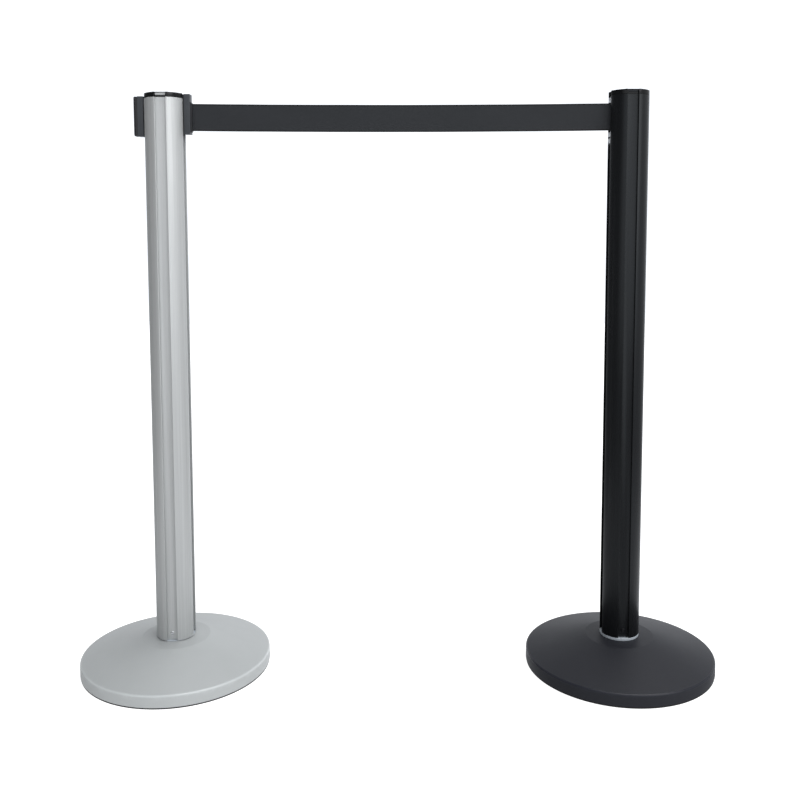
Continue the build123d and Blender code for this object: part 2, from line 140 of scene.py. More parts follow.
# Leaning crease near the belt's end.
CREASE_AT = 52 * MM
CREASE_LEAN = 30 * MM
CREASE_HALF = 5 * MM
CREASE_DEPTH = 0.42 * MM
STITCH_PITCH = 3.1 * MM
STITCH_R = 0.22 * MM
STITCH_HALF = 1.15 * MM
STITCH_ROW = 2.2 * MM
HEM_T = 1.1 * MM
HEM_OUT = 4.5 * MM
TAIL_LENGTH = 150 * MM
END_DOWN = 29.5 * MM
END_H = 69 * MM
END_DEPTH = 10.5 * MM
END_HALF = 9 * MM
END_NOSE = 2.4 * MM
NOSE_HALF = 6 * MM
NOSE_CHAMFER = 1.4 * MM
NOSE_MARGIN = 2.5 * MM
TONGUE_DEPTH = 5.8 * MM
TONGUE_HEAD_T = 1.8 * MM
TONGUE_HEAD_HALF = 11 * MM
TONGUE_NECK_HALF = 7.5 * MM
TONGUE_H = 68 * MM
TONGUE_CHAMFER = 3 * MM
END_SCREW_OUT = 5.3 * MM
END_SCREW_UP = 24 * MM
END_SCREW_R = 2.6 * MM
END_SCREW_H = 1.2 * MM

# Guide in the belt's own groove.
GUIDE_OUT = 33.9 * MM
GUIDE_T = 0.9 * MM
GUIDE_HALF = 8.8 * MM
GUIDE_SLOT_HALF = 2 * MM
# Heights about the belt's middle where the guide has no cheeks.
GUIDE_WINDOWS = ((-26 * MM, 25.5 * MM), (-37 * MM, -34 * MM))

QUARTERS = [math.radians(90 * k) for k in range(4)]
DIAGONALS = [math.radians(45 + 90 * k) for k in range(4)]


# Outlines. An outline runs anticlockwise round solid and clockwise round a hole.


def polar(radius, angle):
    return Vector((radius * math.cos(angle), radius * math.sin(angle)))


def rounded(corners, steps=5):
    """Outline from (x, y, radius) corners, each an arc of that radius."""
    outline = []
    for i, (x, y, radius) in enumerate(corners):
        here = Vector((x, y))
        if radius == 0:
            outline.append(here)
            continue
        back = (Vector(corners[i - 1][:2]) - here).normalized()
        ahead = (Vector(corners[(i + 1) % len(corners)][:2]) - here).normalized()
        half = math.acos(max(-1.0, min(1.0, back.dot(ahead)))) / 2
        centre = here + (back + ahead).normalized() * radius / math.sin(half)
        first = here + back * radius / math.tan(half) - centre
        last = here + ahead * radius / math.tan(half) - centre
        turn = math.atan2(first.cross(last), first.dot(last))
        for k in range(steps + 1):
            outline.append(centre + Matrix.Rotation(turn * k / steps, 2) @ first)
    return outline


def inset(outline, depth):
    """The outline moved into the solid, which lies on its left."""
    moved = []
    for i, here in enumerate(outline):
        before = (here - outline[i - 1]).normalized()
        after = (outline[(i + 1) % len(outline)] - here).normalized()
        normals = [Vector((-d.y, d.x)) for d in (before, after)]
        middle = (normals[0] + normals[1]).normalized()
        moved.append(here + middle * depth / max(0.3, middle.dot(normals[0])))
    return moved


def circle(radius, centre=(0, 0), count=24, hole=False):
    turn = -1 if hole else 1
    middle = Vector(centre)
    return [middle + polar(radius, turn * 2 * math.pi * k / count) for k in range(count)]


def grooved_outline(radius, lip_round):
    """Round outline with the four T grooves."""
    lip_angle = math.asin(MOUTH_HALF / radius)
    lip_x = radius * math.cos(lip_angle)
    corners = []
    for quarter in QUARTERS:
        groove = [
            (lip_x, -MOUTH_HALF, lip_round),
            (UNDER_TOP, -MOUTH_HALF, 0.25 * MM),
            (UNDER_TOP, -UNDER_HALF, 0.25 * MM),
            (FLOOR_AT, -UNDER_HALF, 0.4 * MM),
            (FLOOR_AT, UNDER_HALF, 0.4 * MM),
            (UNDER_TOP, UNDER_HALF, 0.25 * MM),
            (UNDER_TOP, MOUTH_HALF, 0.25 * MM),
            (lip_x, MOUTH_HALF, lip_round),
        ]
        turn = Matrix.Rotation(quarter, 2)
        for x, y, r in groove:
            corners.append((*(turn @ Vector((x, y))), r))
        first = quarter + lip_angle + 2.4 * lip_round / radius
        span = math.radians(90) - 2 * lip_angle - 4.8 * lip_round / radius
        for k in range(ARC_STEPS + 1):
            corners.append((*polar(radius, first + span * k / ARC_STEPS), 0))
    return rounded(corners)


def post_bore():
    """Outline of the space inside the post, with the groove channels and screw ports in it."""
    radius = POST_R - POST_WALL
    half = UNDER_HALF + FLOOR_WALL
    wall_x = FLOOR_AT - FLOOR_WALL
    corner = math.asin(half / radius)
    reach = math.acos((radius**2 + PORT_AT**2 - PORT_R**2) / (2 * radius * PORT_AT))
    outline = []
    for quarter in QUARTERS:
        turn = Matrix.Rotation(quarter, 2)
        for x, y in ((wall_x, -half), (wall_x, half)):
            outline.append(turn @ Vector((x, y)))
        port = quarter + math.radians(45)
        first = quarter + corner
        for k in range(5):
            outline.append(polar(radius, first + (port - reach - first) * k / 4))
        centre = polar(PORT_AT, port)
        start = polar(radius, port - reach) - centre
        end = polar(radius, port + reach) - centre
        sweep = -(2 * math.pi - start.angle(end))
        for k in range(1, 12):
            outline.append(centre + Matrix.Rotation(sweep * k / 12, 2) @ start)
        last = quarter + math.radians(90) - corner
        for k in range(5):
            outline.append(polar(radius, port + reach + (last - port - reach) * k / 4))
    return outline[::-1]


# Meshes.


def soften(mesh):
    """Smooth shading that stops at real corners."""
    mesh.shade_smooth()
    mesh.set_sharp_from_angle(angle=SMOOTH_TO)


def piece(name, bm, finish):
    bmesh.ops.recalc_face_normals(bm, faces=bm.faces)
    mesh = bpy.data.meshes.new(name)
    bm.to_mesh(mesh)
    bm.free()
    soften(mesh)
    mesh.materials.append(finish)
    made = bpy.data.objects.new(name, mesh)
    bpy.context.scene.collection.objects.link(made)
    return made


def loft(bm, rings, wrap=False):
    """Quads between rings of one count; wrap joins the last to the first, else ends are closed."""
    made = [[bm.verts.new(p) for p in ring] for ring in rings]
    count = len(made[0])
    pairs = list(zip(made, made[1:]))
    if wrap:
        pairs.append((made[-1], made[0]))
    else:
        bm.faces.new(made[0][::-1])
        bm.faces.new(made[-1])
    for low, high in pairs:
        for i in range(count):
            j = (i + 1) % count
            bm.faces.new((low[i], low[j], high[j], high[i]))


def prism(bm, outlines, low, high, edge_low, edge_high, steps=3, shift=(0, 0)):
    """Outlines raised from low to high, holes and all, with rounded edges at both ends."""
    move = Vector(shift)
    ends = ([], [])
    for outline in outlines:
        levels = []
        turns = [math.pi / 2 * k / steps for k in range(steps + 1)]
        for turn in turns:
            levels.append((edge_low * (1 - math.sin(turn)), low + edge_low * (1 - math.cos(turn))))
        for turn in turns:
            depth, drop = edge_high * (1 - math.cos(turn)), edge_high * (1 - math.sin(turn))
            levels.append((depth, high - drop))
        rings = []
        for depth, z in levels:
            ring = [bm.verts.new((*(p + move), z)) for p in inset(outline, depth)]
            rings.append(ring)
        count = len(outline)
        for a, b in zip(rings, rings[1:]):
            for i in range(count):
                j = (i + 1) % count
                bm.faces.new((a[i], a[j], b[j], b[i]))
        for side, ring in ((0, rings[0]), (1, rings[-1])):
            ends[side].extend(bm.edges.get((ring[i - 1], ring[i])) for i in range(count))
    for side, edges in enumerate(ends):
        bmesh.ops.triangle_fill(bm, edges=edges, use_beauty=True, normal=(0, 0, 2 * side - 1))


def lathe(bm, profile, centre, count=192):
    """Closed (radius, height) profile turned round an upright axis."""
    rings = []
    for k in range(count):
        side = polar(1, 2 * math.pi * k / count)
        rings.append([(centre[0] + p.x * side.x, centre[1] + p.x * side.y, p.y) for p in profile])
    loft(bm, rings, wrap=True)


def box_shape(name, low, high):
    bm = bmesh.new()
    corners = [Vector((low[0], low[1])), Vector((high[0], low[1]))]
    corners += [Vector((high[0], high[1])), Vector((low[0], high[1]))]
    loft(bm, [[(*p, z) for p in corners] for z in (low[2], high[2])])
    return piece(name, bm, plain)


def rod_shape(name, middle, along, radius, length, count=32):
    """Cutter: a round rod along a direction, centred on a point."""
    turn = Vector(along).to_track_quat("Z", "Y").to_matrix()
    bm = bmesh.new()
    rings = []
    for end in (-length / 2, length / 2):
        rings.append([Vector(middle) + turn @ Vector((*p, end)) for p in circle(radius, count=count)])
    loft(bm, rings)
    return piece(name, bm, plain)


def join_shapes(target, others, operation):
    """Boolean of target with other shapes, which are used up."""
    for other in others:
        step = target.modifiers.new("step", "BOOLEAN")
        step.operation = operation
        step.solver = "EXACT"
        step.object = other
    bpy.context.view_layer.update()
    graph = bpy.context.evaluated_depsgraph_get()
    mesh = bpy.data.meshes.new_from_object(target.evaluated_get(graph))
    finish = target.data.materials[0]
    target.modifiers.clear()
    target.data = mesh
    mesh.materials.clear()
    mesh.materials.append(finish)
    mesh.polygons.foreach_set("material_index", [0] * len(mesh.polygons))
    soften(mesh)
    for other in others:
        bpy.data.objects.remove(other)


def settle(made, body, slot, *nodes):
    """The piece rides on a body and stands for CAD nodes."""
    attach(made, body)
    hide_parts(*nodes)


# Materials.


class Finish:
    """A node material built up from a few layers."""

    def __init__(self, name, colour, roughness, metallic=0.0, specular=0.5):
        self.material = bpy.data.materials.new(name)
        self.material.use_nodes = True
        self.tree = self.material.node_tree
        self.tree.nodes.clear()
        self.shader = self.node("ShaderNodeBsdfPrincipled")
        self.shader.inputs["Metallic"].default_value = metallic
        self.shader.inputs["Specular IOR Level"].default_value = specular
        output = self.node("ShaderNodeOutputMaterial")
        self.wire(self.shader.outputs["BSDF"], output.inputs["Surface"])
        self.place = self.node("ShaderNodeTexCoord").outputs["Object"]
        self.colour = self.node("ShaderNodeRGB").outputs[0]
        self.colour.default_value = (*colour, 1)
        self.roughness = self.node("ShaderNodeValue").outputs[0]
        self.roughness.default_value = roughness
        self.normal = None

    def node(self, kind, **settings):
        made = self.tree.nodes.new(kind)
        for key, value in settings.items():
            setattr(made, key, value)
        return made

    def wire(self, start, end):
        self.tree.links.new(start, end)

    def math(self, operation, *values, clamp=False):
        made = self.node("ShaderNodeMath", operation=operation, use_clamp=clamp)
        for socket, value in zip(made.inputs, values):
            if isinstance(value, (int, float)):
                socket.default_value = value
            else:
                self.wire(value, socket)
        return made.outputs[0]

    def noise(self, scale, stretch, detail, rough):
        """Noise over the piece, longer along an axis with a small stretch."""
        mapping = self.node("ShaderNodeMapping")
        mapping.inputs["Scale"].default_value = stretch
        self.wire(self.place, mapping.inputs["Vector"])
        made = self.node("ShaderNodeTexNoise")
        made.inputs["Scale"].default_value = scale
        made.inputs["Detail"].default_value = detail
        made.inputs["Roughness"].default_value = rough
        self.wire(mapping.outputs[0], made.inputs["Vector"])
        return made.outputs["Fac"]

    def band(self, value, low, high, to_low=0.0, to_high=1.0):
        """Eased step from to_low to to_high as value runs from low to high."""
        made = self.node("ShaderNodeMapRange", clamp=True)
        made.interpolation_type = "SMOOTHSTEP"
        for name, number in (
            ("From Min", low),
            ("From Max", high),
            ("To Min", to_low),
            ("To Max", to_high),
        ):
            made.inputs[name].default_value = number
        self.wire(value, made.inputs["Value"])
        return made.outputs["Result"]

    def tint(self, amount, colour):
        """Mixes a colour in by an amount that varies over the surface."""
        made = self.node("ShaderNodeMix", data_type="RGBA")
        self.wire(amount, made.inputs["Factor"])
        self.wire(self.colour, made.inputs["A"])
        made.inputs["B"].default_value = (*colour, 1)
        self.colour = made.outputs["Result"]
        return self

    def vary_roughness(self, amount, span):
        shift = self.math("MULTIPLY_ADD", amount, 2 * span, -span)
        self.roughness = self.math("ADD", self.roughness, shift, clamp=True)
        return self

    def bump(self, height, strength, distance):
        made = self.node("ShaderNodeBump")
        made.inputs["Strength"].default_value = strength
        made.inputs["Distance"].default_value = distance
        self.wire(height, made.inputs["Height"])
        if self.normal:
            self.wire(self.normal, made.inputs["Normal"])
        self.normal = made.outputs["Normal"]
        return self

    def axis(self, name):
        split = self.node("ShaderNodeSeparateXYZ")
        self.wire(self.place, split.inputs[0])
        return split.outputs[name]

    def from_axis(self, centre):
        """Distance from an upright axis."""
        x = self.math("SUBTRACT", self.axis("X"), centre)
        y = self.axis("Y")
        return self.math("SQRT", self.math("ADD", self.math("POWER", x, 2), self.math("POWER", y, 2)))

    def done(self, **shader):
        for name, value in shader.items():
            self.shader.inputs[name.replace("_", " ")].default_value = value
        self.wire(self.colour, self.shader.inputs["Base Color"])
        self.wire(self.roughness, self.shader.inputs["Roughness"])
        if self.normal:
            self.wire(self.normal, self.shader.inputs["Normal"])
        return self.material


def shade(colour, factor):
    return tuple(c * factor for c in colour)


def anodised(name, colour, roughness, metallic, specular, streak, foot_z):
    """Satin extrusion: die lines up the post, faint blotches, rubbed near the foot."""
    made = Finish(name, colour, roughness, metallic, specular)
    lines = made.noise(900, (1, 1, 0.004), 2.0, 0.6)
    wide = made.noise(160, (1, 1, 0.012), 2.0, 0.5)
    blotch = made.noise(9, (1, 1, 0.35), 3.0, 0.55)
    made.tint(made.band(lines, 0.35, 0.7, 0.0, streak), shade(colour, 0.72))
    made.tint(made.band(wide, 0.4, 0.75, 0.0, streak), shade(colour, 1.3))
    made.tint(made.band(blotch, 0.45, 0.8, 0.0, 0.22), shade(colour, 0.8))
    scuffs = made.noise(60, (1, 1, 0.12), 5.0, 0.75)
    low = made.band(made.axis("Z"), foot_z, foot_z + 0.2, 1.0, 0.25)
    rubbed = made.math("MULTIPLY", made.band(scuffs, 0.66, 0.74), low)
    made.tint(made.math("MULTIPLY", rubbed, 0.35), shade(colour, 1.45))
    made.vary_roughness(blotch, 0.05)
    made.vary_roughness(lines, 0.06)
    made.bump(lines, 0.25, 0.00006)
    made.bump(wide, 0.2, 0.00012)
    made.bump(made.noise(2600, (1, 1, 1), 2.0, 0.6), 0.22, 0.00006)
    return made.done(Specular_Tint=(0.92, 0.97, 1.0, 1.0))


def powder_coat(name, colour, roughness, specular, axis_x):
    """Sprayed base: orange peel, soft blotches, a worn rim with a smoother edge and a painted highlight
    line on it, painted shade near the post.
    """
    made = Finish(name, colour, roughness, 0.0, specular)
    blotch = made.noise(14, (1, 1, 1), 4.0, 0.6)
    cloud = made.noise(5, (1, 1, 1), 2.0, 0.5)
    made.tint(made.band(blotch, 0.35, 0.75, 0.0, 0.5), shade(colour, 0.93))
    made.tint(made.band(cloud, 0.4, 0.7, 0.0, 0.5), shade(colour, 1.05))
    speck = made.noise(1400, (1, 1, 1), 2.0, 0.7)
    made.tint(made.band(speck, 0.55, 0.8, 0.0, 0.35), shade(colour, 1.18))
    radius = made.from_axis(axis_x)
    height = made.axis("Z")
    # rim marks the worn rim; edge marks the rim's rounding, where a highlight is painted and the coat
    # is smoother.
    rim, edge = (
        made.math("MULTIPLY", made.band(radius, *across), made.band(height, *up))
        for across, up in (RIM_WORN, RIM_HIGHLIGHT_AND_SMOOTH_EDGE)
    )
    worn = made.math("MULTIPLY", rim, made.band(made.noise(45, (1, 1, 1), 5.0, 0.7), 0.4, 0.72))
    made.tint(made.math("MULTIPLY", worn, 0.45), shade(colour, 1.3))
    scratch = made.noise(38, (1.0, 0.09, 1), 6.0, 0.8)
    made.tint(made.band(scratch, 0.69, 0.73, 0.0, 0.18), shade(colour, 1.35))
    # Painted shade: darker inside the plateau edge, round the post's foot.
    made.tint(made.band(radius, *PLATEAU_SHADE_EDGE, 0.35, 0.0), shade(colour, 0.88))
    # Painted highlight: a paler line along the rim's rounding; the same mask lowers roughness there
    # below.
    made.tint(made.math("MULTIPLY", edge, 0.7), shade(colour, 1.35))
    made.vary_roughness(blotch, 0.06)
    made.bump(speck, 0.3, 0.00012)
    made.bump(made.noise(420, (1, 1, 1), 2.0, 0.5), 0.25, 0.0003)
    made.roughness = made.math("SUBTRACT", made.roughness, made.math("MULTIPLY", edge, 0.27))
    return made.done()


def moulded(name, colour, roughness, specular=0.5, grain=1500, depth=0.00008, strength=0.35):
    """Moulded plastic with a fine spark-eroded grain and paler rubbed patches."""
    made = Finish(name, colour, roughness, 0.0, specular)
    patch = made.noise(45, (1, 1, 1), 4.0, 0.65)
    fine = made.noise(grain, (1, 1, 1), 2.0, 0.6)
    made.tint(made.band(patch, 0.45, 0.75, 0.0, 0.4), shade(colour, 1.35))
    made.tint(made.band(fine, 0.5, 0.8, 0.0, 0.4), shade(colour, 0.75))
    made.vary_roughness(patch, 0.07)
    made.bump(fine, strength, depth)
    return made.done()


def turned_metal(name, colour, roughness, spread=(1, 1, 0.05)):
    """Bright or plated metal with tool marks and a few duller spots."""
    made = Finish(name, colour, roughness, 1.0)
    marks = made.noise(700, spread, 3.0, 0.6)
    spots = made.noise(80, (1, 1, 1), 4.0, 0.6)
    made.tint(made.band(spots, 0.5, 0.75, 0.0, 0.5), shade(colour, 0.7))
    made.tint(made.band(marks, 0.45, 0.75, 0.0, 0.3), shade(colour, 1.2))
    made.vary_roughness(spots, 0.1)
    made.bump(marks, 0.3, 0.00008)
    return made.done()


def cast(name, colour, roughness):
    """Rough cast iron."""
    made = Finish(name, colour, roughness, 0.6)
    lumps = made.noise(160, (1, 1, 1), 6.0, 0.7)
    rust = made.noise(30, (1, 1, 1), 5.0, 0.65)
    made.tint(made.band(rust, 0.55, 0.7, 0.0, 0.6), (0.11, 0.045, 0.02))
    made.tint(made.band(lumps, 0.4, 0.7, 0.0, 0.5), shade(colour, 0.6))
    made.vary_roughness(lumps, 0.1)
    made.bump(lumps, 0.7, 0.0008)
    return made.done()


def webbing(name, colour):
    """Woven polyester belt: ribs across the width, plain selvedges, fuzz and faint soiling."""
    made = Finish(name, colour, 0.62, 0.0, 0.35)
    x, z = made.axis("X"), made.axis("Z")
    across = made.node("ShaderNodeAttribute", attribute_name="across").outputs["Fac"]
    rib = made.math("SINE", made.math("MULTIPLY", x, 2 * math.pi / RIB_PITCH))
    warp = made.math("SINE", made.math("MULTIPLY", z, 2 * math.pi / WARP_PITCH))
    weave = made.math("MULTIPLY", rib, warp)
    height = made.math("MULTIPLY_ADD", weave, 0.5, 0.5)
    fuzz = made.noise(1800, (1, 1, 1), 3.0, 0.7)
    soil = made.noise(16, (0.5, 1, 1), 4.0, 0.6)
    made.tint(made.band(height, 0.0, 1.0, 0.0, 0.45), shade(colour, 1.5))
    made.tint(made.band(fuzz, 0.5, 0.8, 0.0, 0.5), shade(colour, 1.6))
    made.tint(made.band(soil, 0.45, 0.75, 0.0, 0.35), shade(colour, 1.25))
    edge = made.band(across, BELT_HALF - SELVEDGE_W - 0.4 * MM, BELT_HALF - SELVEDGE_W)
    made.tint(made.math("MULTIPLY", edge, 0.85), shade(colour, 0.25))
    made.vary_roughness(soil, 0.06)
    made.bump(height, 0.5, 0.0002)
    made.bump(fuzz, 0.3, 0.0001)
    return made.done(Sheen_Weight=0.12, Sheen_Roughness=0.5)


# Where things stand.


def axis_of(name):
    low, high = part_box(name + "_post_tube")
    return (low.x + high.x) / 2, low.z, high.z


SILVER_X, SILVER_FOOT, SILVER_TOP = axis_of("silver")
BLACK_X, BLACK_FOOT, BLACK_TOP = axis_of("black")

plain = bpy.data.materials.new("cutter")

finishes = {
    "silver_post": anodised(
        "silver_anodised", (0.59, 0.60, 0.595), 0.52, 0.66, 0.5, 0.25, SILVER_FOOT
    ),
    "black_post": anodised(
        "black_anodised", (0.006, 0.0064, 0.0072), 0.28, 0.0, 0.36, 0.5, BLACK_FOOT
    ),
    "silver_base": powder_coat("silver_powder_coat", (0.37, 0.386, 0.387), 0.42, 0.5, SILVER_X),
    "black_base": powder_coat("black_powder_coat", (0.0165, 0.0175, 0.0225), 0.50, 0.22, BLACK_X),
    "floor_rubber": moulded("rubber", (0.018, 0.018, 0.018), 0.8, 0.3, 700, 0.0002),
    "cast_weight": cast("cast_iron", (0.09, 0.085, 0.08), 0.75),
    "collar_plastic": moulded("collar_grey", (0.40, 0.435, 0.47), 0.35, 0.5, 1200),
    "zinc_steel": turned_metal("zinc_plate", (0.55, 0.56, 0.57), 0.32),
    "bright_screw": turned_metal("bright_screw", (0.78, 0.79, 0.80), 0.22),
    "black_screw": turned_metal("black_oxide", (0.035, 0.035, 0.038), 0.38),
    "plug_aluminium": turned_metal("plug_aluminium", (0.6, 0.61, 0.62), 0.4),
    "cap_plastic": moulded("cap_black", (0.004, 0.0042, 0.0046), 0.14, 0.35, 900, 0.00003, 0.12),
    "case_plastic": moulded("case_grey", (0.10, 0.10, 0.105), 0.55),
    "spool_plastic": moulded("spool_white", (0.55, 0.55, 0.53), 0.45),
    "bright_steel": turned_metal("bright_steel", (0.62, 0.62, 0.63), 0.25),
    "bush_brass": turned_metal("bush_brass", (0.62, 0.45, 0.18), 0.33),
    "brake_lining": moulded("brake_lining", (0.12, 0.085, 0.06), 0.85, 0.3, 500, 0.0003),
    "brake_steel": turned_metal("brake_steel", (0.42, 0.42, 0.43), 0.4),
    "spring_steel": turned_metal("spring_steel", (0.28, 0.30, 0.36), 0.3, (1, 1, 1)),
    "guide_steel": turned_metal("guide_nickel", (0.74, 0.75, 0.76), 0.2),
    "belt_web": webbing("belt_webbing", (0.0132, 0.0148, 0.0175)),
    "end_plastic": moulded("end_charcoal", (0.034, 0.038, 0.0435), 0.45, 0.5, 1300),
    "tongue_plastic": moulded("tongue_black", (0.016, 0.016, 0.018), 0.42, 0.5, 1300),
}

slot_of = {n["node"]: n["material_slot"] for n in frame["record"]["subparts"]}
for node, made in frame["nodes"].items():
    made.data.materials.clear()
    made.data.materials.append(finishes[slot_of[node]])


# Screws.


def screw_heads(name, places, radius, height, socket, dome, slot):
    """Screw heads with a hexagon socket, each standing along +Z of its place."""
    bm = bmesh.new()
    count = 36

    def level(reach, z, hexagon=False):
        points = []
        for k in range(count):
            angle = 2 * math.pi * k / count
            wedge = angle % math.radians(60) - math.radians(30)
            size = reach / math.cos(wedge) if hexagon else reach
            points.append(Vector((*polar(size, angle), z)))
        return points

    for place in places:
        rings = [level(radius, 0), level(radius, height * (1 - dome))]
        for k in range(1, 5):
            turn = math.pi / 2 * k / 4
            reach = radius - dome * height * (1 - math.cos(turn))
            rings.append(level(reach, height * (1 - dome + dome * math.sin(turn))))
        rings.append(level(socket * 1.3, height))
        rings.append(level(socket, height - 0.12 * MM, True))
        rings.append(level(socket * 0.97, height * 0.42, True))
        rings.append(level(socket * 0.3, height * 0.3))
        loft(bm, [[place @ p for p in ring] for ring in rings])
    return piece(name, bm, finishes[slot])


def facing(point, direction):
    turn = Vector(direction).to_track_quat("Z", "Y")
    return Matrix.Translation(point) @ turn.to_matrix().to_4x4()


# One stanchion.


def build_post(name, x, foot, top, belt):
    bm = bmesh.new()
    bores = [circle(PORT_BORE_R, polar(PORT_AT, d), hole=True) for d in DIAGONALS]
    outlines = [grooved_outline(POST_R, LIP_ROUND), post_bore()] + bores
    prism(bm, outlines, foot, top, POST_EDGE, POST_EDGE, 2, (x, 0))
    post = piece(name + "_post", bm, finishes[name + "_post"])
    screw_z = foot + FOOT_SCREW_UP
    cutters = []
    for quarter in QUARTERS:
        side = polar(1, quarter)
        middle = (x + side.x * FLOOR_AT, side.y * FLOOR_AT, screw_z)
        cutters.append(rod_shape("hole", middle, (*side, 0), FOOT_HOLE_R, 6 * MM))
    cutters.append(
        box_shape(
            "slot",
            (x - FLOOR_AT - 1 * MM, -BELT_SLOT_HALF, belt - BELT_SLOT_H / 2),
            (x - FLOOR_AT + 3 * MM, BELT_SLOT_HALF, belt + BELT_SLOT_H / 2),
        )
    )
    join_shapes(post, cutters, "DIFFERENCE")
    settle(post, name + "_stanchion", name + "_post", name + "_post_tube")


def build_cap(name, x, top, cap_top):
    bm = bmesh.new()
    outline = grooved_outline(POST_R, CAP_NOTCH_ROUND)
    prism(bm, [outline], top + 0.15 * MM, cap_top, 0.35 * MM, CAP_EDGE, 5, (x, 0))
    cap = piece(name + "_cap", bm, finishes["cap_plastic"])
    seat = cap_top - CAP_SCREW_H - CAP_SCREW_SUNK
    cutters, places = [], []
    for diagonal in DIAGONALS:
        spot = polar(PORT_AT, diagonal) + Vector((x, 0))
        wide = CAP_SCREW_R + 0.2 * MM
        middle = (*spot, seat + 3 * MM)
        cutters.append(rod_shape("seat", middle, (0, 0, 1), wide, 6 * MM, 40))
        places.append(facing((*spot, seat), (0, 0, 1)))
    join_shapes(cap, cutters, "DIFFERENCE")
    settle(cap, name + "_stanchion", "cap_plastic", name + "_head_cap")
    bm = bmesh.new()
    tab = [(-INSERT_HALF, 0.1 * MM), (INSERT_HALF, 0.1 * MM)]
    tab += [(INSERT_HALF, -INSERT_T), (-INSERT_HALF, -INSERT_T)]
    outline = [Vector((x, -FLOOR_AT)) + Vector(p) for p in reversed(tab)]
    prism(bm, [outline], cap_top - INSERT_H - CAP_EDGE, cap_top - CAP_EDGE, 0.1 * MM, 0.1 * MM, 2)
    insert = piece(name + "_cap_insert", bm, finishes[name + "_post"])
    settle(insert, name + "_stanchion", name + "_post", name + "_head_cap")
    screws = screw_heads(
        name + "_cap_screw_heads", places, CAP_SCREW_R, CAP_SCREW_H, 1.3 * MM, 0.3, "black_screw"
    )
    settle(screws, name + "_stanchion", "black_screw", name + "_cap_screws")


def build_base(name, x, foot):
    cover = [
        (BOLT_HOLE_R, SEAT[1], 0),
        (BOLT_HOLE_R, SEAT[1] - COVER_T, 0),
        (SEAT[0], SEAT[1] - COVER_T, 90 * MM),
        (CONE_HIGH[0], CONE_HIGH[1] - COVER_T, CONE_ROUND),
        (BASE_R - COVER_T, RIM_TOP - COVER_T, RIM_ROUND - COVER_T),
        (BASE_R - COVER_T, COVER_FOOT, 0.4 * MM),
        (BASE_R, COVER_FOOT, 0.8 * MM),
        (BASE_R, RIM_TOP, RIM_ROUND),
        (CONE_HIGH[0], CONE_HIGH[1], CONE_ROUND),
        (SEAT[0], SEAT[1], 90 * MM),
    ]
    bm = bmesh.new()
    lathe(bm, rounded(cover, 8), (x, 0), 256)
    body = name + "_stanchion"
    made = piece(name + "_cover", bm, finishes[name + "_base"])
    settle(made, body, name + "_base", name + "_base_cover")

    inner, outer, height = RING
    tread = 0.5 * MM
    ring = [(inner, 0, tread), (outer - 8 * MM, 0, 0), (outer - 7 * MM, tread, 0)]
    ring += [(outer - 5 * MM, tread, 0), (outer - 4 * MM, 0, 0), (RING_LIP[0], 0, tread)]
    ring += [(*RING_LIP, tread), (outer, RING_LIP[1], 0)]
    ring += [(outer, height, tread), (inner, height, tread)]
    bm = bmesh.new()
    lathe(bm, rounded(ring, 3), (x, 0), 224)
    made = piece(name + "_foot_ring", bm, finishes["floor_rubber"])
    settle(made, body, "floor_rubber", name + "_floor_ring")

    low, high = SEAT[1], foot
    edge = min(0.8 * MM, (high - low) * 0.45)
    outside = COLLAR_OUT[name]
    collar = [(COLLAR_IN, low, 0), (outside, low, edge * 0.4)]
    collar += [(outside, high, edge), (COLLAR_IN, high, 0)]
    bm = bmesh.new()
    lathe(bm, rounded(collar, 4), (x, 0), 160)
    made = piece(name + "_collar", bm, finishes["collar_plastic"])
    settle(made, body, "collar_plastic", name + "_foot_collar")

    places = []
    for quarter in QUARTERS:
        side = polar(1, quarter)
        spot = (x + side.x * FLOOR_AT, side.y * FLOOR_AT, foot + FOOT_SCREW_UP)
        places.append(facing(spot, (*side, 0)))
    slot = "black_screw" if name == "black" else "bright_screw"
    made = screw_heads(
        name + "_foot_screw_heads", places, FOOT_SCREW_R, FOOT_SCREW_H, 1.5 * MM, 0.5, slot
    )
    settle(made, body, slot, name + "_foot_screws")


def build_guide(name, x, belt):
    low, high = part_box(name + "_belt_guide")
    inside = GUIDE_HALF - GUIDE_T
    edge = 0.3 * MM
    corners = [
        (-FLOOR_AT, -GUIDE_HALF, 0),
        (-FLOOR_AT, GUIDE_HALF, 0),
        (-GUIDE_OUT, GUIDE_HALF, edge),
        (-GUIDE_OUT, inside, edge),
        (-FLOOR_AT - GUIDE_T, inside, edge),
        (-FLOOR_AT - GUIDE_T, -inside, edge),
        (-GUIDE_OUT, -inside, edge),
        (-GUIDE_OUT, -GUIDE_HALF, edge),
    ]
    bm = bmesh.new()
    prism(bm, [rounded(corners, 3)], low.z, high.z, 0.2 * MM, 0.2 * MM, 2, (x, 0))
    made = piece(name + "_guide", bm, finishes["guide_steel"])
    cutters = [
        box_shape(
            "slot",
            (x - FLOOR_AT - 2 * MM, -GUIDE_SLOT_HALF, belt - BELT_SLOT_H / 2),
            (x - FLOOR_AT + 1 * MM, GUIDE_SLOT_HALF, belt + BELT_SLOT_H / 2),
        )
    ]
    for start, end in GUIDE_WINDOWS:
        cutters.append(
            box_shape(
                "window",
                (x - GUIDE_OUT - 1 * MM, -GUIDE_HALF - 1 * MM, belt + start),
                (x - FLOOR_AT - GUIDE_T, GUIDE_HALF + 1 * MM, belt + end),
            )
        )
    join_shapes(made, cutters, "DIFFERENCE")
    settle(made, name + "_stanchion", "guide_steel", name + "_belt_guide")


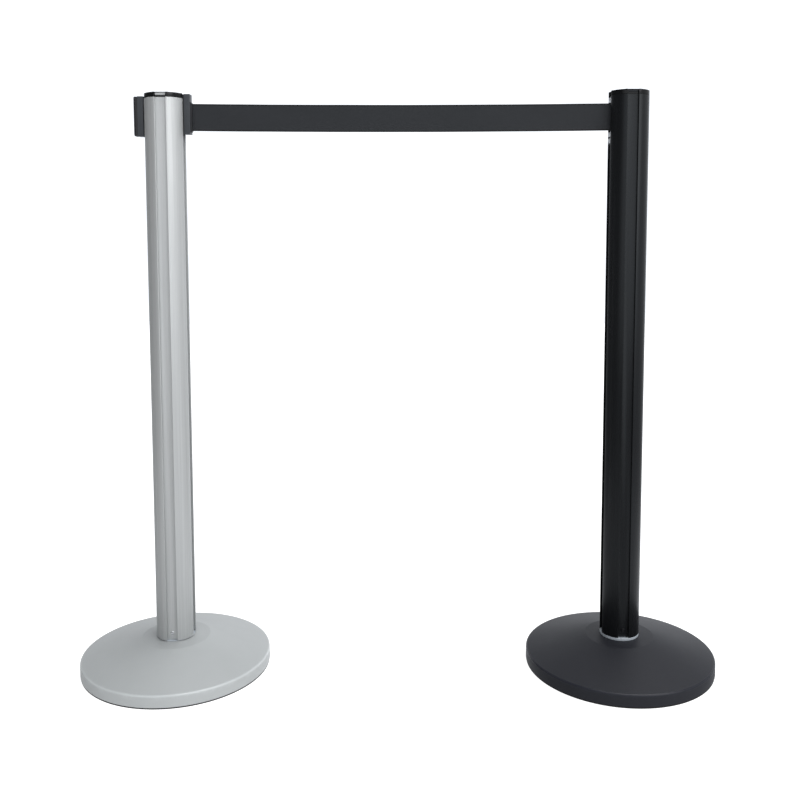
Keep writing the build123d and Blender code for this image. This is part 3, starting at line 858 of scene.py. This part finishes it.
def build_end(name, back, belt):
    """Belt end: block, nose and tongue, with its screws."""
    body = name + "_belt_end"
    low = belt - END_DOWN
    middle = low + END_H / 2
    front = back + END_DEPTH
    block = [
        (0, -END_HALF, 0.4 * MM),
        (END_DEPTH, -END_HALF, 0.8 * MM),
        (END_DEPTH, END_HALF, 0.8 * MM),
        (0, END_HALF, 0.4 * MM),
    ]
    bm = bmesh.new()
    prism(bm, [rounded(block)], low, low + END_H, 0.4 * MM, 0.4 * MM, 3, (back, 0))
    made = piece(name + "_end_block", bm, finishes["end_plastic"])

    half = BELT_HALF + NOSE_MARGIN
    rings = []
    for reach, shrink in ((0, 0), (END_NOSE - NOSE_CHAMFER, 0), (END_NOSE, NOSE_CHAMFER)):
        wide, tall = NOSE_HALF - shrink, half - shrink
        corners = [(-wide, -tall), (wide, -tall), (wide, tall), (-wide, tall)]
        ring = rounded([(y, z, 0.5 * MM) for y, z in corners], 3)
        rings.append([(front + reach, p.x, belt + p.y) for p in ring])
    bm = bmesh.new()
    loft(bm, rings)
    nose = piece(name + "_end_nose", bm, finishes["tongue_plastic"])
    slot_half = BELT_HALF + 0.8 * MM
    slots = [
        box_shape(
            "slot",
            (back + END_DEPTH / 2, -BELT_T, belt - slot_half),
            (front + END_NOSE + 1 * MM, BELT_T, belt + slot_half),
        )
        for _ in range(2)
    ]
    join_shapes(nose, slots[:1], "DIFFERENCE")
    settle(nose, body, "tongue_plastic", name + "_end_body")
    grooves = []
    for side in (-1, 1):
        y = side * END_HALF
        grooves.append(
            box_shape(
                "parting",
                (back + 5.1 * MM, y - 0.25 * MM, low - 1 * MM),
                (back + 5.4 * MM, y + 0.25 * MM, low + END_H + 1 * MM),
            )
        )
    join_shapes(made, slots[1:] + grooves, "DIFFERENCE")
    settle(made, body, "end_plastic", name + "_end_body")

    head = TONGUE_HEAD_T - TONGUE_DEPTH
    tee = [
        (-TONGUE_DEPTH, -TONGUE_HEAD_HALF, 0.3 * MM),
        (head, -TONGUE_HEAD_HALF, 0.3 * MM),
        (head, -TONGUE_NECK_HALF, 0.3 * MM),
        (0, -TONGUE_NECK_HALF, 0),
        (0, TONGUE_NECK_HALF, 0),
        (head, TONGUE_NECK_HALF, 0.3 * MM),
        (head, TONGUE_HEAD_HALF, 0.3 * MM),
        (-TONGUE_DEPTH, TONGUE_HEAD_HALF, 0.3 * MM),
    ]
    outline = rounded(tee, 3)
    bm = bmesh.new()
    rings = []
    start = middle - TONGUE_H / 2
    for z, lead in (
        (0, TONGUE_CHAMFER),
        (TONGUE_CHAMFER, 0),
        (TONGUE_H - TONGUE_CHAMFER, 0),
        (TONGUE_H, TONGUE_CHAMFER),
    ):
        limit = TONGUE_HEAD_HALF - lead
        rings.append([(back + p.x, max(-limit, min(limit, p.y)), start + z) for p in outline])
    loft(bm, rings)
    tongue = piece(name + "_tongue", bm, finishes["tongue_plastic"])
    cutters, places = [], []
    for out in (-1, 1):
        for up in (-1, 1):
            spot = Vector((back - TONGUE_DEPTH, out * END_SCREW_OUT, middle + up * END_SCREW_UP))
            wide = END_SCREW_R + 0.2 * MM
            cutters.append(rod_shape("seat", spot, (1, 0, 0), wide, 2.8 * MM))
            places.append(facing(spot + Vector((1.4 * MM, 0, 0)), (-1, 0, 0)))
    join_shapes(tongue, cutters, "DIFFERENCE")
    settle(tongue, body, "tongue_plastic", name + "_end_tongue")
    heads = screw_heads(
        name + "_end_screw_heads", places, END_SCREW_R, END_SCREW_H, 1.0 * MM, 0.35, "zinc_steel"
    )
    settle(heads, body, "zinc_steel", name + "_end_screws")


# The belt.


def belt_section():
    """Height shares across the belt, with extra ones near the woven edges."""
    heights = [k / 20 for k in range(-20, 21)]
    edge = SELVEDGE_W / BELT_HALF
    extra = [1 - edge * s for s in (0.12, 0.3, 0.8, 1.0, 1.25)]
    return sorted(set(heights + extra + [-h for h in extra]))


def belt_thickness(share):
    """Thick woven edge, thin middle, rounded at the very edge."""
    inward = (1 - abs(share)) * BELT_HALF
    if inward < SELVEDGE_W:
        bulge = math.sqrt(max(0.0, 1 - (1 - min(1.0, inward / (0.5 * MM))) ** 2))
        return max(0.12 * MM, SELVEDGE_T * bulge)
    blend = min(1.0, (inward - SELVEDGE_W) / (0.6 * MM))
    return SELVEDGE_T + (BELT_T - SELVEDGE_T) * blend


def build_belt(name, x0, x1, steps, belt, shape, hem_end):
    """Stretch of belt between two places; shape gives its sideways and upward displacement."""
    shares = belt_section()
    rings = []
    for k in range(steps + 1):
        x = x0 + (x1 - x0) * k / steps
        hem = max(0.0, min(1.0, (hem_end - x) / (0.6 * MM)))
        ring = []
        for side, run in ((-1, shares), (1, shares[::-1])):
            for share in run:
                thick = belt_thickness(share)
                thick += hem * max(0.0, HEM_T - thick)
                aside, up = shape(x, share)
                ring.append((x, aside + side * thick / 2, belt + share * BELT_HALF + up))
        rings.append(ring)
    bm = bmesh.new()
    loft(bm, rings)
    made = piece(name, bm, finishes["belt_web"])
    across = made.data.attributes.new("across", "FLOAT", "POINT")
    shares = shares + shares[::-1]
    for k, value in enumerate(across.data):
        value.value = abs(shares[k % len(shares)]) * BELT_HALF
    return made


def fade(value, low, high):
    t = max(0.0, min(1.0, (value - low) / (high - low)))
    return t * t * (3 - 2 * t)


def stitches(name, x, belt, rows, slot):
    """Rows of thread stitches on both faces of the hem."""
    bm = bmesh.new()
    count = int((2 * BELT_HALF - 5 * MM) / STITCH_PITCH)
    for row in range(rows):
        for face in (-1, 1):
            for k in range(count):
                middle = belt + (k - (count - 1) / 2) * STITCH_PITCH
                rings = []
                for j in range(7):
                    t = j / 6 * 2 - 1
                    size = STITCH_R * math.sqrt(max(0.06, 1 - t * t))
                    up = middle + t * STITCH_HALF
                    place = Vector((x + row * STITCH_ROW, face * (HEM_T / 2), up))
                    spread = [polar(size, 2 * math.pi * i / 8) for i in range(8)]
                    rings.append([place + Vector((p.x, p.y, 0)) for p in spread])
                loft(bm, rings)
    return piece(name, bm, finishes[slot])


def build_black_belt():
    web_low, web_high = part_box("black_belt_web")
    belt = (web_low.z + web_high.z) / 2
    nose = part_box("black_end_body")[1].x
    start, end = web_low.x, web_high.x
    split = nose + HEM_OUT + TAIL_LENGTH
    span = end - nose

    def shape(x, share):
        t = max(0.0, min(1.0, (x - nose) / span))
        free = fade(t, 0.0, 0.06) * fade(1 - t, 0.0, 0.06)
        wave = sum(
            size * math.sin(2 * math.pi * (x / length + lean * share) + phase)
            for size, length, lean, phase in WAVES
        )
        cup = CUP * share * share * math.sin(2 * math.pi * x / CUP_LENGTH + 0.6)
        along = x - (nose + CREASE_AT) - CREASE_LEAN * share
        crease = CREASE_DEPTH * math.exp(-((along / CREASE_HALF) ** 2)) * fade(t, 0.005, 0.03)
        sag = -4 * BELT_SAG * t * (1 - t)
        return free * (wave + cup) - crease, sag

    tail = build_belt("black_belt_tail", start, split, 60, belt, shape, nose + HEM_OUT)
    span_piece = build_belt("black_belt_span", split, end, 300, belt, shape, nose)
    hem = stitches("black_hem_stitches", nose + 1.5 * MM, belt, 2, "belt_web")
    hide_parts("black_belt_web")
    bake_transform(tail)
    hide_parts("black_belt_web")
    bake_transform(span_piece)
    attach(hem, "black_belt_end")


def build_silver_belt():
    web_low, web_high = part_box("silver_belt_web")
    belt = (web_low.z + web_high.z) / 2
    start, end = web_low.x, web_high.x + 1.5 * MM
    made = build_belt("silver_belt", start, end, 90, belt, lambda x, share: (0, 0), start)
    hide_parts("silver_belt_web")
    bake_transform(made)


for name, x, foot, top in (
    ("silver", SILVER_X, SILVER_FOOT, SILVER_TOP),
    ("black", BLACK_X, BLACK_FOOT, BLACK_TOP),
):
    web_low, web_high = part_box(name + "_belt_web")
    belt = (web_low.z + web_high.z) / 2
    build_post(name, x, foot, top, belt)
    build_cap(name, x, top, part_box(name + "_head_cap")[1].z)
    build_base(name, x, foot)
    build_guide(name, x, belt)
    build_end(name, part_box(name + "_end_body")[0].x, belt)

build_black_belt()
build_silver_belt()
bpy.data.materials.remove(plain)

# Floor, light and camera.

FLOOR_HALF = 6.0
PANEL_SIDE = Vector((0.1, -1.0, 0.05))
DARK_SIDE = 0.11
GREY_SIDE = 0.57
PANEL = 0.72
BACK_WALL = 0.7
GROUND = 0.4
CAMERA_WHITE = 1.2

bm = bmesh.new()
bmesh.ops.create_grid(bm, x_segments=8, y_segments=8, size=FLOOR_HALF)
paper = Finish("white_paper", (0.5, 0.5, 0.5), 0.9, 0.0, 0.1)
paper.tint(paper.band(paper.noise(3, (1, 1, 1), 2.0, 0.5), 0.4, 0.7, 0.0, 0.3), (0.48, 0.48, 0.48))
floor = piece("floor", bm, paper.done(Emission_Color=(1, 1, 1, 1), Emission_Strength=0.9))
floor.visible_glossy = False
floor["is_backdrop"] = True

world = bpy.data.worlds.new("studio")
bpy.context.scene.world = world
world.use_nodes = True
sky = world.node_tree
sky.nodes.clear()


def sky_ramp(value, low, high, to_low, to_high):
    made = sky.nodes.new("ShaderNodeMapRange")
    made.interpolation_type = "SMOOTHSTEP"
    for name, number in (
        ("From Min", low),
        ("From Max", high),
        ("To Min", to_low),
        ("To Max", to_high),
    ):
        made.inputs[name].default_value = number
    sky.links.new(value, made.inputs["Value"])
    return made.outputs["Result"]


def sky_math(operation, *values):
    made = sky.nodes.new("ShaderNodeMath")
    made.operation = operation
    for socket, value in zip(made.inputs, values):
        sky.links.new(value, socket)
    return made.outputs[0]


# The room: a lit panel in front, grey to the right, dark to the left, a white wall behind and a
# bright ground below.
where = sky.nodes.new("ShaderNodeTexCoord").outputs["Generated"]
split = sky.nodes.new("ShaderNodeSeparateXYZ")
sky.links.new(where, split.inputs[0])
toward = sky.nodes.new("ShaderNodeVectorMath")
toward.operation = "DOT_PRODUCT"
toward.inputs[1].default_value = PANEL_SIDE.normalized()
sky.links.new(where, toward.inputs[0])
sides = sky_ramp(split.outputs["X"], -0.6, 0.8, DARK_SIDE, GREY_SIDE)
sides = sky_math("MULTIPLY", sides, sky_ramp(split.outputs["Z"], -0.3, 0.05, 0.5, 0.95))
panel = sky_ramp(toward.outputs["Value"], 0.45, 0.80, 0.0, PANEL)
above = sky_ramp(split.outputs["Z"], -0.18, 0.03, 0.0, 1.0)
back = sky_ramp(split.outputs["Y"], 0.45, 0.95, 0.0, BACK_WALL)
ground = sky_ramp(split.outputs["Z"], -0.46, -0.34, GROUND, 0.0)
room = sky_math("ADD", sky_math("ADD", sides, back), sky_math("MULTIPLY", panel, above))
room = sky_math("ADD", room, ground)
seen = sky.nodes.new("ShaderNodeLightPath")
mix = sky.nodes.new("ShaderNodeMix")
mix.inputs["B"].default_value = CAMERA_WHITE
sky.links.new(seen.outputs["Is Camera Ray"], mix.inputs["Factor"])
sky.links.new(room, mix.inputs["A"])
glow = sky.nodes.new("ShaderNodeBackground")
glow.inputs["Color"].default_value = (0.96, 0.985, 1.03, 1)
sky.links.new(mix.outputs["Result"], glow.inputs["Strength"])
sky_out = sky.nodes.new("ShaderNodeOutputWorld")
sky.links.new(glow.outputs[0], sky_out.inputs["Surface"])


def sun(name, direction, strength, spread_deg):
    data = bpy.data.lights.new(name, "SUN")
    data.energy = strength
    data.angle = math.radians(spread_deg)
    made = bpy.data.objects.new(name, data)
    made.rotation_mode = "QUATERNION"
    made.rotation_quaternion = Vector(direction).to_track_quat("Z", "Y")
    bpy.context.scene.collection.objects.link(made)


sun("overhead", (0.2, 0.0, 1.0), 1.9, 45)
sun("key", (0.61, -0.61, 0.5), 0.55, 45)

# The camera's axes: it looks along +Y and a little down.
CAMERA_AT = Vector((9.17, -1653.9, 799.0)) * MM
LOOK_DOWN = 0.08494
ROLL = -0.0015
# Lens and sensor in millimetres, the shift in shares of the picture's width.
LENS = 41.92785
SENSOR = 36.0
SHIFT = (-0.0029, -0.1175)

right = Vector((1, 0, 0))
ahead = Vector((0, math.cos(LOOK_DOWN), -math.sin(LOOK_DOWN)))
above = right.cross(ahead)
side = right * math.cos(ROLL) + above * math.sin(ROLL)
upward = above * math.cos(ROLL) - right * math.sin(ROLL)
data = bpy.data.cameras.new("camera")
data.sensor_width = SENSOR
data.lens = LENS
data.shift_x, data.shift_y = SHIFT
data.clip_start = 0.05
data.clip_end = 100
camera = bpy.data.objects.new("camera", data)
turn = Matrix((side, upward, -ahead)).transposed().to_4x4()
camera.matrix_world = Matrix.Translation(CAMERA_AT) @ turn
bpy.context.scene.collection.objects.link(camera)
bpy.context.scene.camera = camera
bpy.context.scene.view_settings.view_transform = "Standard"

visual_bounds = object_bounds()
boxes = [[list(corner) for corner in box] for box in (cad_bounds, visual_bounds)]
